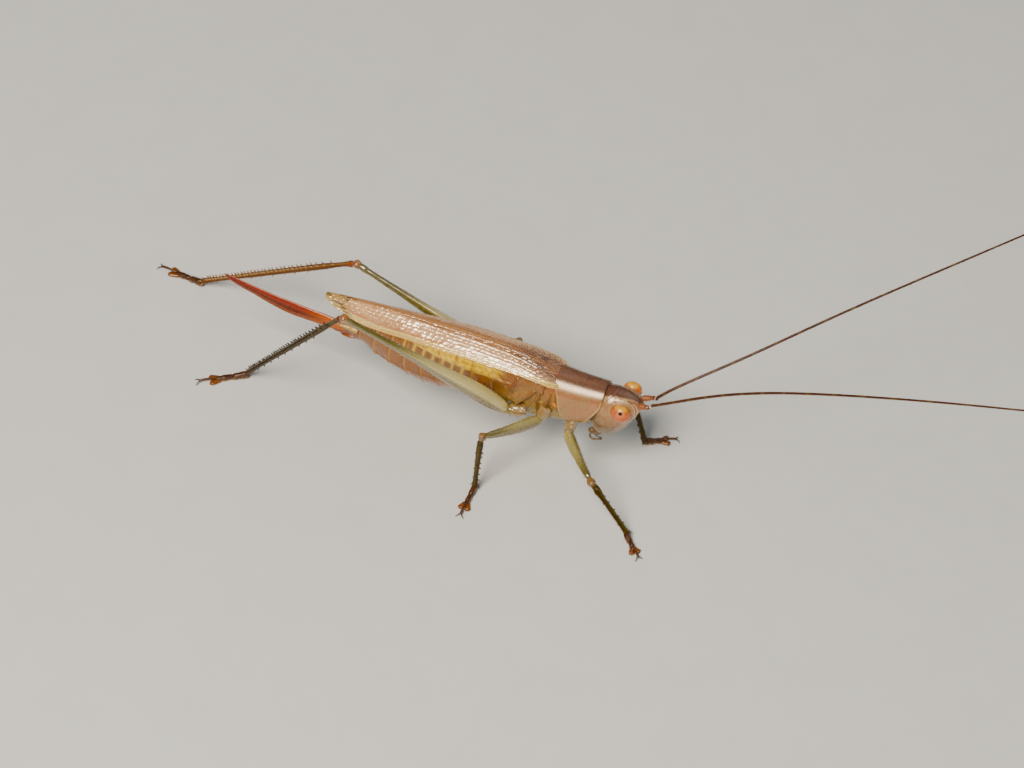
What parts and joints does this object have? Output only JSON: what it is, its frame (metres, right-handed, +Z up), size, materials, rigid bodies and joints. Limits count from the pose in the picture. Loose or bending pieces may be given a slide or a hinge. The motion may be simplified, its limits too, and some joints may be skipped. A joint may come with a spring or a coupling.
{
  "type": "long horned grasshopper",
  "caption": "Still, life-size female meadow katydid standing with its legs spread, long antennae raised, wings folded and a sabre-shaped ovipositor behind.",
  "frame": {"origin": "middle of the outline seen from above, at the level of the feet", "axes": "+X from the tail towards the head, +Y to the insect's left, +Z up"},
  "size_m": [0.067, 0.033, 0.0274],
  "materials": {
    "eye": "glossy",
    "pronotum": "satin",
    "head": "satin",
    "wing": "satin",
    "ovipositor": "glossy",
    "feeler": "matte",
    "tibia": "satin",
    "tarsus": "satin",
    "femur": "satin",
    "body": "satin"
  },
  "bodies": {
    "root": {"head": "head", "mouthparts": "head", "eye_right": "eye", "antenna_base_right": "feeler", "palp_right": "femur", "eye_left": "eye", "antenna_base_left": "feeler", "palp_left": "femur", "pronotum": "pronotum", "prothorax": "body", "thorax": "body", "abdomen": "body", "abdomen_tip": "body", "tegmen_right": "wing", "tegmen_left": "wing", "ovipositor": "ovipositor", "cercus_right": "body", "cercus_left": "body", "coxa_front_right": "body", "femur_front_right": "femur", "tibia_front_right": "tibia", "tarsus_front_right": "tarsus", "coxa_front_left": "body", "femur_front_left": "femur", "tibia_front_left": "tibia", "tarsus_front_left": "tarsus", "coxa_middle_right": "body", "femur_middle_right": "femur", "tibia_middle_right": "tibia", "tarsus_middle_right": "tarsus", "coxa_middle_left": "body", "femur_middle_left": "femur", "tibia_middle_left": "tibia", "tarsus_middle_left": "tarsus", "coxa_hind_right": "body", "femur_hind_right": "femur", "tibia_hind_right": "tibia", "tarsus_hind_right": "tarsus", "coxa_hind_left": "body", "femur_hind_left": "femur", "tibia_hind_left": "tibia", "tarsus_hind_left": "tarsus", "flagellum_right_1": "feeler", "flagellum_right_2": "feeler", "flagellum_right_3": "feeler", "flagellum_left_1": "feeler", "flagellum_left_2": "feeler", "flagellum_left_3": "feeler"}
  },
  "joints": []
}
